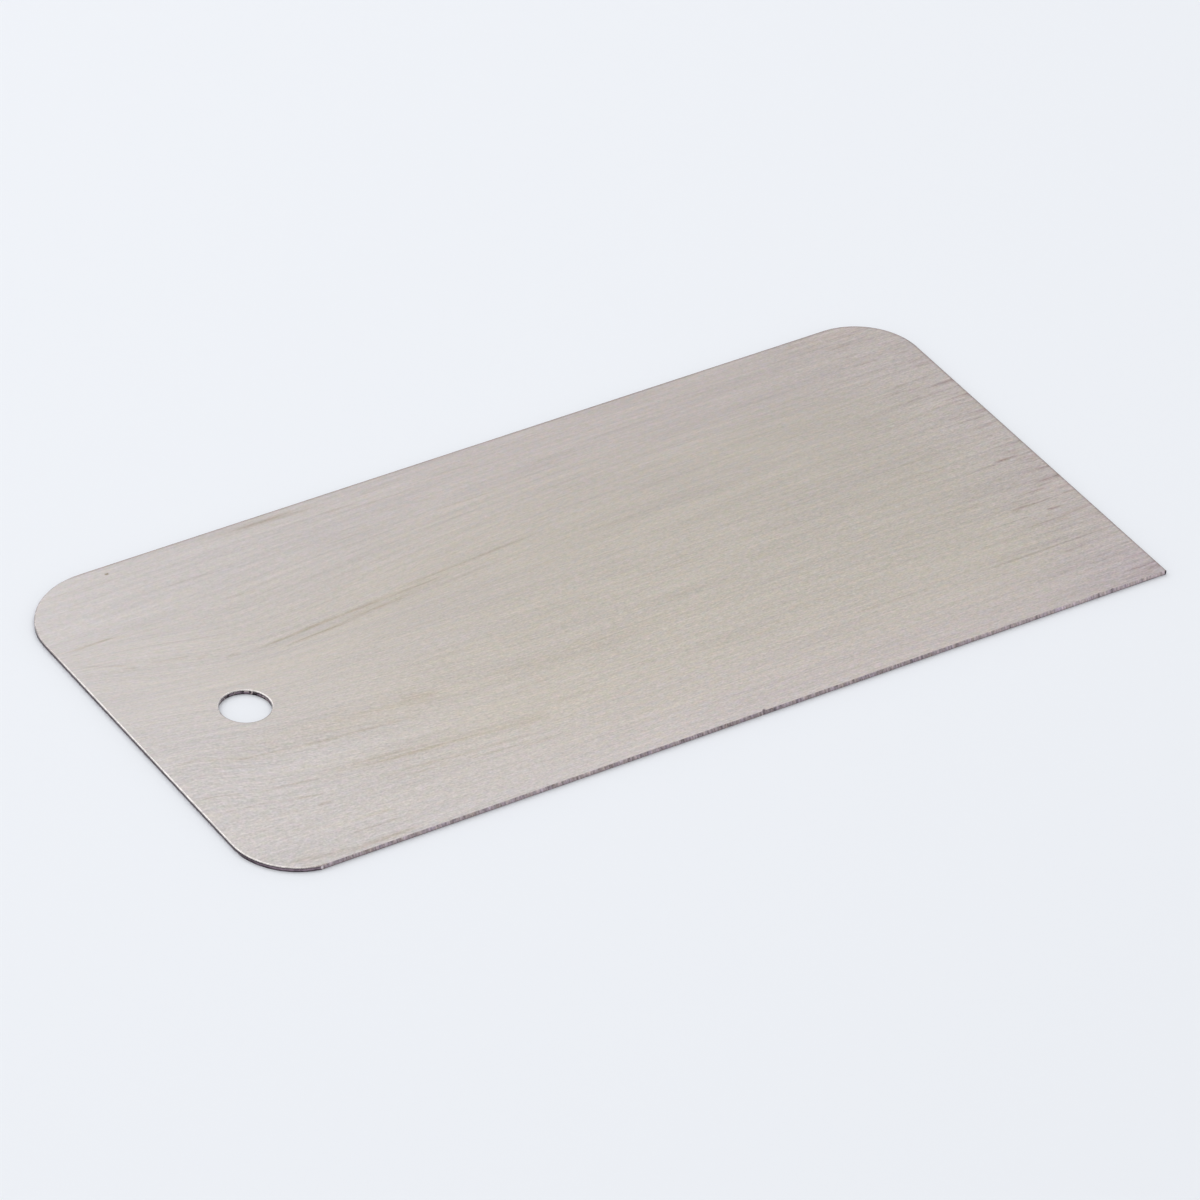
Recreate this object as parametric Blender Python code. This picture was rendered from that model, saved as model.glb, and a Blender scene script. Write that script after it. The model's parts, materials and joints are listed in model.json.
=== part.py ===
"""Steel ski scraper: one blade of hardened strip steel.

The blade is modelled in the order in which it is made. A blank with three rounded corners and one
square corner is punched out of the strip, together with its hanging hole, and the punch rolls the
upper rims over. One long edge is then ground straight and square. That makes the scraping edge,
and it cuts into the round of the corner beside it.

Units are metres and +Z is up. The blade lies flat with its length along X. The hanging hole is at
the -X end, the scraping edge is on the -Y side, and the middle of the underside is at the origin.
"""

import math

import bmesh
import bpy

MM = 0.001

# Finished blade
BLADE_LENGTH = 120.0 * MM
BLADE_WIDTH = 60.0 * MM
SHEET_THICKNESS = 0.6 * MM

# Rounded corners of the blank; the one between the scraping edge and the plain end stays square
HANGING_END_BACK_RADIUS = 10.0 * MM
HANGING_END_FRONT_RADIUS = 8.25 * MM
PLAIN_END_BACK_RADIUS = 8.1 * MM

# Hanging hole, by its centre
HOLE_DIAMETER = 6.0 * MM
HOLE_TO_HANGING_END = 14.0 * MM
HOLE_TO_SCRAPING_EDGE = 29.1 * MM

# Punched walls: a rolled upper rim, an upright cut, then a slope where the sheet tore through
OUTLINE_ROLL_OVER = 0.15 * MM
HOLE_ROLL_OVER = 0.15 * MM
TEAR_SLOPE = 0.03 * MM
TEAR_SHARE = 0.55

# Metal ground off the scraping edge after punching, enough to clear its rolled rim
GRINDING_ALLOWANCE = 0.16 * MM

# Facets of the round stretches
CORNER_STEPS = 18
HOLE_STEPS = 64
ROLL_OVER_STEPS = 4

# Finish
STEEL_COLOUR = (0.56, 0.52, 0.50, 1.0)
STEEL_ROUGHNESS = 0.38
SMOOTH_ANGLE = math.radians(35.0)

QUARTER_TURN = math.pi / 2.0
FULL_TURN = math.pi * 2.0


def clear_scene():
    """Removes every object that the file opened with."""
    for thing in list(bpy.data.objects):
        bpy.data.objects.remove(thing, do_unlink=True)


def arc(centre_x, centre_y, radius, start, sweep, steps):
    """Points along an arc, both ends included, turning anticlockwise."""
    points = []
    for step in range(steps + 1):
        angle = start + sweep * step / steps
        points.append((centre_x + radius * math.cos(angle), centre_y + radius * math.sin(angle)))
    return points


def blank_outline(inset):
    """The blank's outline seen from above, anticlockwise, drawn in from its edges by inset."""
    hanging_end = -BLADE_LENGTH / 2.0
    plain_end = BLADE_LENGTH / 2.0
    back = BLADE_WIDTH / 2.0
    front = -BLADE_WIDTH / 2.0 - GRINDING_ALLOWANCE

    points = [(plain_end - inset, front + inset)]
    points += arc(
        plain_end - PLAIN_END_BACK_RADIUS,
        back - PLAIN_END_BACK_RADIUS,
        PLAIN_END_BACK_RADIUS - inset,
        0.0,
        QUARTER_TURN,
        CORNER_STEPS,
    )
    points += arc(
        hanging_end + HANGING_END_BACK_RADIUS,
        back - HANGING_END_BACK_RADIUS,
        HANGING_END_BACK_RADIUS - inset,
        QUARTER_TURN,
        QUARTER_TURN,
        CORNER_STEPS,
    )
    points += arc(
        hanging_end + HANGING_END_FRONT_RADIUS,
        front + HANGING_END_FRONT_RADIUS,
        HANGING_END_FRONT_RADIUS - inset,
        2.0 * QUARTER_TURN,
        QUARTER_TURN,
        CORNER_STEPS,
    )
    return points


def hole_outline(inset):
    """The hanging hole's rim seen from above, widened into the sheet by inset."""
    centre_x = -BLADE_LENGTH / 2.0 + HOLE_TO_HANGING_END
    centre_y = -BLADE_WIDTH / 2.0 + HOLE_TO_SCRAPING_EDGE
    rim = arc(centre_x, centre_y, HOLE_DIAMETER / 2.0 + inset, 0.0, FULL_TURN, HOLE_STEPS)
    return rim[:-1]


def punched_section(roll_over):
    """Inset and height of each line along a punched wall, from the upper face to the underside."""
    section = []
    for step in range(ROLL_OVER_STEPS + 1):
        turn = QUARTER_TURN * step / ROLL_OVER_STEPS
        inset = roll_over * (1.0 - math.sin(turn))
        height = SHEET_THICKNESS - roll_over * (1.0 - math.cos(turn))
        section.append((inset, height))
    section.append((0.0, TEAR_SHARE * (SHEET_THICKNESS - roll_over)))
    section.append((TEAR_SLOPE, 0.0))
    return section


def punched_wall(mesh, outline, section):
    """Lofts a wall through the outline at every line of its section and returns its two rims."""
    rings = []
    for inset, height in section:
        rings.append([mesh.verts.new((x, y, height)) for x, y in outline(inset)])
    for upper, lower in zip(rings, rings[1:]):
        for here in range(len(upper)):
            after = (here + 1) % len(upper)
            mesh.faces.new((upper[here], lower[here], lower[after], upper[after]))
    return rings[0], rings[-1]


def rim_edges(mesh, ring):
    """The closed chain of edges through a ring of points."""
    chain = []
    for here, corner in enumerate(ring):
        after = ring[(here + 1) % len(ring)]
        chain.append(mesh.edges.get((corner, after)))
    return chain


def fill_sheet(mesh, outer_ring, hole_ring):
    """Fills one face of the sheet, between its outline and its hole."""
    edges = rim_edges(mesh, outer_ring) + rim_edges(mesh, hole_ring)
    bmesh.ops.triangle_fill(mesh, edges=edges, use_beauty=True)


def grind_scraping_edge(mesh):
    """Cuts the front of the blank back to one straight upright face across its thickness."""
    cut = bmesh.ops.bisect_plane(
        mesh,
        geom=mesh.verts[:] + mesh.edges[:] + mesh.faces[:],
        plane_co=(0.0, -BLADE_WIDTH / 2.0, 0.0),
        plane_no=(0.0, -1.0, 0.0),
        clear_outer=True,
    )
    open_edges = [part for part in cut["geom_cut"] if isinstance(part, bmesh.types.BMEdge)]
    bmesh.ops.edgeloop_fill(mesh, edges=open_edges)


def steel_finish():
    """Bare strip steel, brushed along its length."""
    material = bpy.data.materials.new("blade_steel")
    material.use_nodes = True
    shader = material.node_tree.nodes["Principled BSDF"]
    shader.inputs["Base Color"].default_value = STEEL_COLOUR
    shader.inputs["Metallic"].default_value = 1.0
    shader.inputs["Roughness"].default_value = STEEL_ROUGHNESS
    material.diffuse_color = STEEL_COLOUR
    return material


def make_scraper_blade():
    """Punches the blank and its hole, grinds the scraping edge and places the finished blade."""
    solid = bmesh.new()
    outer_top, outer_bottom = punched_wall(solid, blank_outline, punched_section(OUTLINE_ROLL_OVER))
    hole_top, hole_bottom = punched_wall(solid, hole_outline, punched_section(HOLE_ROLL_OVER))
    fill_sheet(solid, outer_top, hole_top)
    fill_sheet(solid, outer_bottom, hole_bottom)
    grind_scraping_edge(solid)
    bmesh.ops.recalc_face_normals(solid, faces=solid.faces[:])

    mesh = bpy.data.meshes.new("scraper_blade")
    solid.to_mesh(mesh)
    solid.free()
    mesh.shade_smooth()
    mesh.set_sharp_from_angle(angle=SMOOTH_ANGLE)
    mesh.materials.append(steel_finish())

    blade = bpy.data.objects.new("scraper_blade", mesh)
    bpy.context.scene.collection.objects.link(blade)
    return blade


clear_scene()
make_scraper_blade()
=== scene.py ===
"""The steel ski scraper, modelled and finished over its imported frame.

One sheet of brushed spring steel: punched with three rounded corners and a hanging hole, then
ground straight and square along its scraping edge. Lengths are in metres, in the frame's axes: X
along the blade with the hanging hole at the low end, Y across it with the scraping edge at the low
side, Z up from the surface that the blade lies on. The finishes alone work in millimetres.
"""

import json
import logging
import math
from collections.abc import Callable, Iterable, Iterator
from contextlib import contextmanager
from dataclasses import dataclass, field
from enum import Enum
from functools import partial, reduce
from typing import Any

import bmesh
import bpy
from mathutils import Matrix, Vector

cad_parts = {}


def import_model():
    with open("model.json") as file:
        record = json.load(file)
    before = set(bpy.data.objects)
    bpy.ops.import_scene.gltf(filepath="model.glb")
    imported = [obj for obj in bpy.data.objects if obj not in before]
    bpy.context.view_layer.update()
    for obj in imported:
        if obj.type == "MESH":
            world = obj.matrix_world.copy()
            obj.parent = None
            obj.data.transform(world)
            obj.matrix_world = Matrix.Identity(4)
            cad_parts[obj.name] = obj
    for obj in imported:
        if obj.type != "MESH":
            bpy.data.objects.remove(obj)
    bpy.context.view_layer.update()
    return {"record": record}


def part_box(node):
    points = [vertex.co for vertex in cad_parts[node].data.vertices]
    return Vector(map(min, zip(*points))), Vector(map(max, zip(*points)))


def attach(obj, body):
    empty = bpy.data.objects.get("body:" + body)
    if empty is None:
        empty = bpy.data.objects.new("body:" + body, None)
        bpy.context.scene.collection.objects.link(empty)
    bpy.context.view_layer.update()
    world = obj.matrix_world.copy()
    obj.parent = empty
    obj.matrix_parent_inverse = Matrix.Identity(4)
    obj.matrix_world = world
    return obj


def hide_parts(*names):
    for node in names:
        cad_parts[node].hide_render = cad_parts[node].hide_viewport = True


MM = 0.001
NEAR = 1e-6
CUT_NEAR = NEAR / 10.0
FLOOR_GAP = 0.05 * MM
CAD_NODE = "scraper_blade"
BODY = "root"
BAKE_MAP = "OFBake"
ROUND_PROFILE = 0.5
# The Mix node's inputs for a share and two colours, and its output for a colour
MIX_INPUTS = (0, 6, 7)
MIX_OUTPUT = 2

# What a node's input takes: an output, a number, a vector or a colour
Value = Any
Socket = bpy.types.NodeSocket
Colour = tuple[float, float, float]
# The values at which a fade is 0 and 1
Span = tuple[float, float]

log = logging.getLogger("scraper")


class Region(Enum):
    """The parts of the blade's surface that get a finish of their own, in slot order."""

    FACE = 0
    ROLLED_RIM = 1
    PUNCHED_WALL = 2
    GROUND_EDGE = 3


class Element(Enum):
    """What a selection in edit mode is made of."""

    VERTS = "VERT"
    EDGES = "EDGE"
    FACES = "FACE"


def pick(piece: bpy.types.Object) -> None:
    """Selects a piece alone and makes it active.

    Args:
        piece: The object.
    """
    bpy.ops.object.select_all(action="DESELECT")
    piece.select_set(True)
    bpy.context.view_layer.objects.active = piece


@contextmanager
def editing(piece: bpy.types.Object) -> Iterator[None]:
    """Holds a piece in edit mode, as the only thing selected.

    Args:
        piece: The mesh object to shape.
    """
    pick(piece)
    bpy.ops.object.mode_set(mode="EDIT")
    try:
        yield
    finally:
        bpy.ops.object.mode_set(mode="OBJECT")


def select(piece: bpy.types.Object, element: Element, wanted: Callable[[Any], bool]) -> None:
    """Selects the parts of a mesh in edit mode that pass a test of place or normal.

    Args:
        piece: The mesh object, in edit mode.
        element: Whether vertices, edges or faces are tested.
        wanted: The test of one part.
    """
    bpy.ops.mesh.select_mode(type=element.value)
    bpy.ops.mesh.select_all(action="DESELECT")
    mesh = bmesh.from_edit_mesh(piece.data)
    mesh.normal_update()
    for part in getattr(mesh, element.name.lower()):
        if wanted(part):
            part.select_set(True)
    mesh.select_flush_mode()
    bmesh.update_edit_mesh(piece.data)


def apply_modifier(piece: bpy.types.Object, kind: str, **settings: Any) -> None:
    """Adds a modifier with these settings to a piece and applies it.

    Args:
        piece: The mesh object.
        kind: Blender's name for the modifier.
        settings: The modifier's own properties.
    """
    pick(piece)
    modifier = piece.modifiers.new(kind.lower(), kind)
    for name, value in settings.items():
        setattr(modifier, name, value)
    bpy.ops.object.modifier_apply(modifier=modifier.name)


@dataclass
class ShaderGraph:
    """Short forms for the nodes of one material, sky or node group."""

    tree: bpy.types.NodeTree

    def node(self, kind: str, **settings: Any) -> bpy.types.Node:
        """Adds a node.

        Args:
            kind: The node's type name, without its prefix.
            settings: The node's own properties.

        Returns:
            The node.
        """
        made = self.tree.nodes.new("ShaderNode" + kind)
        for name, value in settings.items():
            setattr(made, name, value)
        return made

    def feed(self, socket: Socket, value: Value) -> None:
        """Gives an input a link or a plain value.

        Args:
            socket: The input.
            value: An output, or a number, vector or colour.
        """
        if isinstance(value, Socket):
            self.tree.links.new(value, socket)
        elif socket.type == "RGBA":
            socket.default_value = (*value[:3], 1.0)
        else:
            socket.default_value = value

    def fill(self, made: bpy.types.Node, values: Iterable[Value]) -> Socket:
        """Feeds a node's inputs in order.

        Args:
            made: The node.
            values: What its inputs get.

        Returns:
            The node's first output.
        """
        for socket, value in zip(made.inputs, values):
            self.feed(socket, value)
        return made.outputs[0]

    def math(self, operation: str, *values: Value) -> Socket:
        """Works a number out of others with a Math node."""
        return self.fill(self.node("Math", operation=operation), values)

    def vector(self, operation: str, *values: Value) -> Socket:
        """Works a vector or colour out of others with a Vector Math node."""
        return self.fill(self.node("VectorMath", operation=operation), values)

    def combine(self, x: Value, y: Value, z: Value) -> Socket:
        """Makes a vector of three numbers."""
        return self.fill(self.node("CombineXYZ"), (x, y, z))

    def total(self, *values: Value) -> Socket:
        """Adds several numbers up."""
        return reduce(partial(self.math, "ADD"), values)

    def product(self, *values: Value) -> Socket:
        """Multiplies several numbers."""
        return reduce(partial(self.math, "MULTIPLY"), values)

    def lift(self, value: Value, factor: Value, base: Value) -> Socket:
        """Multiplies a number by a factor and adds it to a base."""
        return self.math("MULTIPLY_ADD", value, factor, base)

    def size(self, value: Value) -> Socket:
        """Drops a number's sign."""
        return self.math("ABSOLUTE", value)

    def scale(self, vector: Value, factor: Value) -> Socket:
        """Multiplies a vector or colour by a number.

        Args:
            vector: The vector or colour.
            factor: The number.

        Returns:
            The scaled vector or colour.
        """
        made = self.node("VectorMath", operation="SCALE")
        self.feed(made.inputs["Scale"], factor)
        return self.fill(made, [vector])

    def reach(self, x: Value, y: Value) -> Socket:
        """Measures a step that goes along and across.

        Args:
            x: How far it goes along.
            y: How far it goes across.

        Returns:
            Its length.
        """
        made = self.node("VectorMath", operation="LENGTH")
        self.fill(made, [self.combine(x, y, 0.0)])
        return made.outputs["Value"]

    def noise(self, where: Value, detail: float, roughness: float) -> Socket:
        """Gives smooth noise about zero, mostly within a half either way.

        Args:
            where: The place, already in units of the pattern's size.
            detail: How many finer layers it has.
            roughness: How strong the finer layers are.

        Returns:
            The number.
        """
        made = self.node("TexNoise", noise_dimensions="3D")
        self.feed(made.inputs["Vector"], where)
        self.feed(made.inputs["Scale"], 1.0)
        self.feed(made.inputs["Detail"], detail)
        self.feed(made.inputs["Roughness"], roughness)
        return self.math("SUBTRACT", made.outputs[0], 0.5)

    def fade(self, value: Value, span: Span) -> Socket:
        """Runs smoothly from 0 at the start of a span to 1 at its end.

        Args:
            value: The number to test.
            span: Where the result is 0, and where it is 1.

        Returns:
            The result, held between 0 and 1.
        """
        made = self.node("MapRange", interpolation_type="SMOOTHSTEP", clamp=True)
        return self.fill(made, (value, *span))

    def within(self, *tests: tuple[Value, Span]) -> Socket:
        """Multiplies the fades of several numbers, each over its own span."""
        return self.product(*(self.fade(value, span) for value, span in tests))

    def blend(self, share: Value, first: Value, second: Value) -> Socket:
        """Mixes two colours.

        Args:
            share: How much of the second.
            first: The first colour.
            second: The second colour.

        Returns:
            The colour.
        """
        made = self.node("Mix", data_type="RGBA", blend_type="MIX", clamp_factor=True)
        for index, value in zip(MIX_INPUTS, (share, first, second)):
            self.feed(made.inputs[index], value)
        return made.outputs[MIX_OUTPUT]


@dataclass(frozen=True)
class Zone:
    """A part of the blade with soft borders, by the spans over which it sets in along X and Y."""

    x: Span
    y: Span


@dataclass(frozen=True)
class Spot:
    """The place on the surface that a material works at, in millimetres."""

    graph: ShaderGraph
    x: Value
    y: Value
    z: Value

    @classmethod
    def on_object(cls, graph: ShaderGraph) -> "Spot":
        """Reads the place on the object.

        Args:
            graph: The material's graph.

        Returns:
            The place.
        """
        split = graph.node("SeparateXYZ")
        graph.fill(split, [graph.scale(graph.node("TexCoord").outputs["Object"], 1.0 / MM)])
        return cls(graph, *split.outputs)

    def inside(self, zone: Zone) -> Socket:
        """Tells how far inside a zone the place is, from 0 to 1."""
        return self.graph.within((self.x, zone.x), (self.y, zone.y))


@dataclass(frozen=True)
class Pattern:
    """Noise by its repeats per millimetre along, across and through the sheet."""

    along: float
    across: float
    detail: float
    roughness: float
    layer: float = 0.0
    through: float = 50.0

    def over(self, at: Spot) -> Socket:
        """Lays the noise over a surface.

        Args:
            at: The place on it.

        Returns:
            The noise there, about zero.
        """
        graph = at.graph
        stretched = graph.combine(
            graph.product(at.x, self.along),
            graph.product(at.y, self.across),
            graph.lift(at.z, self.through, self.layer),
        )
        return graph.noise(stretched, self.detail, self.roughness)


def steel_shader(name: str) -> tuple[bpy.types.Material, bpy.types.Node, Spot]:
    """Starts a metal material.

    Args:
        name: The material's name.

    Returns:
        The material, its shader node and the place that it works at.
    """
    material = bpy.data.materials.new(name)
    material.use_nodes = True
    shader = material.node_tree.nodes["Principled BSDF"]
    shader.inputs["Metallic"].default_value = 1.0
    return material, shader, Spot.on_object(ShaderGraph(material.node_tree))


@dataclass(frozen=True)
class Smear:
    """A rubbed streak on the upper face, straight from one place to another.

    Places are X and Y in millimetres from the blade's centre. A depth below zero is a brighter streak.
    """

    start: tuple[float, float]
    end: tuple[float, float]
    half_width: float
    depth: float

    @property
    def middle(self) -> tuple[float, float]:
        """The place halfway along."""
        return (self.start[0] + self.end[0]) / 2.0, (self.start[1] + self.end[1]) / 2.0

    @property
    def half_length(self) -> float:
        """Half of its reach along X."""
        return (self.end[0] - self.start[0]) / 2.0

    @property
    def slope(self) -> float:
        """How far it climbs along Y for each step along X."""
        return (self.end[1] - self.start[1]) / (self.end[0] - self.start[0])


SMEARS = (
    # Back of the hanging end
    Smear((-47.6, 28.47), (-46.9, 28.47), 0.16, 0.30),
    Smear((-36.0, 28.87), (-17.0, 28.47), 0.60, 0.08),
    Smear((-31.0, 28.77), (-22.0, 28.67), 0.22, 0.05),
    Smear((-59.5, 17.52), (-51.0, 17.47), 0.17, 0.15),
    Smear((-54.0, 17.27), (-45.0, 16.57), 0.18, 0.07),
    Smear((-59.5, 14.87), (-52.5, 11.47), 0.20, 0.08),
    Smear((-54.8, 11.97), (-52.8, 11.17), 0.20, 0.10),
    Smear((-53.0, 11.47), (-45.5, 9.97), 0.22, 0.06),
    Smear((-44.0, 23.17), (-35.0, 22.92), 0.20, 0.06),
    Smear((-39.0, 17.87), (-33.0, 17.37), 0.22, 0.06),
    # The long pair behind the hanging hole
    Smear((-46.8, 9.12), (-44.2, 9.67), 0.28, 0.06),
    Smear((-43.6, 8.17), (-41.0, 7.87), 0.28, 0.06),
    Smear((-41.0, 7.52), (-28.0, 8.72), 0.19, 0.13),
    Smear((-36.0, 8.12), (-21.0, 9.07), 0.19, 0.12),
    Smear((-28.0, 8.67), (-12.0, 9.57), 0.20, 0.10),
    Smear((-37.5, 6.57), (-26.5, 7.27), 0.20, 0.17),
    Smear((-29.5, 7.47), (-17.0, 8.47), 0.20, 0.11),
    Smear((-22.0, 9.77), (2.0, 11.57), 0.22, 0.09),
    Smear((-34.0, 7.67), (-6.0, 9.67), 1.20, 0.035),
    # Front of the hanging end
    Smear((-58.5, -6.63), (-54.0, -7.03), 0.25, 0.10),
    Smear((-56.0, -7.03), (-49.5, -9.73), 0.25, 0.10),
    Smear((-55.0, -8.73), (-37.0, -11.23), 0.20, 0.11),
    Smear((-46.0, -10.33), (-28.0, -12.03), 0.20, 0.10),
    Smear((-54.0, -7.33), (-18.0, -9.93), 2.00, 0.045),
    Smear((-60.0, -11.03), (-18.0, -14.83), 1.70, -0.03),
    Smear((-31.5, -8.73), (-25.0, -9.33), 0.80, 0.055),
    Smear((-60.5, -12.83), (-52.5, -15.03), 0.20, 0.06),
    Smear((-54.0, -15.13), (-44.0, -16.53), 0.17, 0.09),
    Smear((-47.0, -15.63), (-29.0, -16.93), 0.35, 0.06),
    Smear((-44.0, -16.43), (-25.0, -18.43), 0.20, 0.065),
    Smear((-38.0, -16.93), (-15.0, -19.33), 0.20, 0.08),
    Smear((-48.0, -15.73), (-14.0, -18.93), 0.85, 0.035),
    Smear((-60.5, -16.23), (-50.5, -17.83), 0.18, 0.06),
    Smear((-53.5, -17.63), (-45.5, -19.23), 0.17, 0.08),
    Smear((-42.0, -19.33), (-17.0, -21.23), 0.30, 0.08),
    Smear((-40.0, -20.43), (-18.0, -22.33), 0.17, 0.08),
    Smear((-24.0, -22.33), (-16.0, -22.63), 0.30, 0.05),
    Smear((-48.5, -20.53), (-46.0, -20.63), 0.20, 0.16),
    Smear((-47.5, -24.63), (-39.5, -25.23), 0.22, 0.07),
    Smear((-49.0, -26.53), (-39.5, -27.03), 0.20, 0.09),
    Smear((-57.5, -27.53), (-47.0, -29.73), 0.50, 0.09),
    Smear((-50.0, -29.33), (-38.5, -29.13), 0.40, 0.09),
    # Middle
    Smear((-18.5, 25.87), (-7.0, 25.87), 0.15, 0.09),
    Smear((-21.0, 26.67), (-14.5, 26.67), 0.20, 0.08),
    Smear((-6.0, 26.87), (2.5, 26.77), 0.30, 0.08),
    Smear((-23.0, 21.27), (-13.5, 21.27), 0.15, 0.06),
    Smear((-14.5, 23.47), (-4.0, 23.27), 0.15, 0.06),
    Smear((-10.0, 20.97), (2.5, 20.97), 0.15, 0.06),
    Smear((-16.0, 8.57), (-8.5, 9.17), 0.15, -0.06),
    Smear((-28.0, -9.53), (18.0, -9.83), 1.30, 0.045),
    Smear((-16.5, -17.13), (-8.5, -17.23), 0.40, 0.06),
    Smear((-22.0, -18.43), (-16.0, -18.73), 0.60, 0.06),
    # Back of the plain end
    Smear((44.0, 28.37), (58.5, 28.37), 0.80, 0.12),
    Smear((51.5, 27.57), (57.0, 27.57), 0.40, 0.08),
    Smear((49.5, 26.07), (54.0, 26.07), 0.15, 0.13),
    Smear((49.5, 23.07), (55.5, 23.07), 0.15, 0.08),
    Smear((50.0, 21.92), (55.0, 21.77), 0.25, 0.14),
    Smear((48.0, 18.07), (52.8, 18.07), 0.15, 0.09),
    Smear((56.0, 19.57), (62.0, 19.57), 0.50, 0.10),
    Smear((53.0, 14.47), (56.5, 14.57), 0.15, 0.15),
    Smear((55.5, 13.87), (63.0, 13.87), 0.35, 0.20),
    Smear((54.0, 12.77), (62.0, 12.67), 0.20, 0.12),
    Smear((55.5, 10.77), (63.0, 10.67), 0.35, 0.18),
    Smear((52.5, 10.07), (59.5, 9.97), 0.18, 0.19),
    Smear((54.0, 6.77), (62.5, 6.77), 0.30, 0.12),
    Smear((54.0, 3.07), (62.0, 3.07), 0.30, 0.08),
    Smear((47.7, 9.37), (48.7, 9.37), 0.20, -0.12),
    Smear((27.4, 23.92), (29.0, 23.92), 0.14, -0.10),
    # Front of the plain end
    Smear((54.0, -2.53), (58.5, -2.63), 0.22, 0.26),
    Smear((56.0, -3.53), (63.0, -3.73), 0.50, 0.15),
    Smear((54.5, -6.13), (63.0, -6.13), 0.45, 0.14),
    Smear((55.5, -8.28), (63.0, -8.33), 0.25, 0.38),
    Smear((42.0, -8.53), (50.0, -8.93), 0.35, 0.06),
    Smear((51.5, -9.63), (58.5, -9.63), 0.22, 0.20),
    Smear((56.5, -10.33), (63.0, -10.33), 0.60, 0.15),
    Smear((49.5, -11.63), (57.0, -11.73), 0.20, 0.16),
    Smear((57.0, -11.53), (62.0, -11.53), 0.22, 0.16),
    Smear((54.2, -13.43), (57.0, -13.53), 0.20, 0.24),
    Smear((47.5, -15.33), (57.5, -15.33), 0.16, 0.10),
    Smear((54.0, -15.23), (62.0, -14.93), 0.25, 0.17),
    Smear((56.5, -17.63), (63.0, -17.63), 1.20, 0.07),
    Smear((22.0, -19.53), (34.5, -19.63), 0.16, 0.08),
    Smear((40.0, -19.83), (60.0, -19.83), 0.18, 0.09),
    Smear((51.0, -21.33), (59.0, -21.33), 0.22, 0.11),
    Smear((55.5, -25.93), (63.0, -25.73), 0.25, 0.19),
    Smear((54.5, -27.03), (63.0, -26.93), 0.20, 0.09),
    Smear((54.5, -28.03), (63.5, -27.73), 0.28, 0.22),
    Smear((52.0, -29.43), (64.0, -28.53), 0.40, 0.17),
)


@dataclass(frozen=True)
class Bend:
    """A stretch where the brush lines leave their course, by the spans over which it sets in."""

    x: Span
    front: Span
    back: Span
    shift: float


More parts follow.
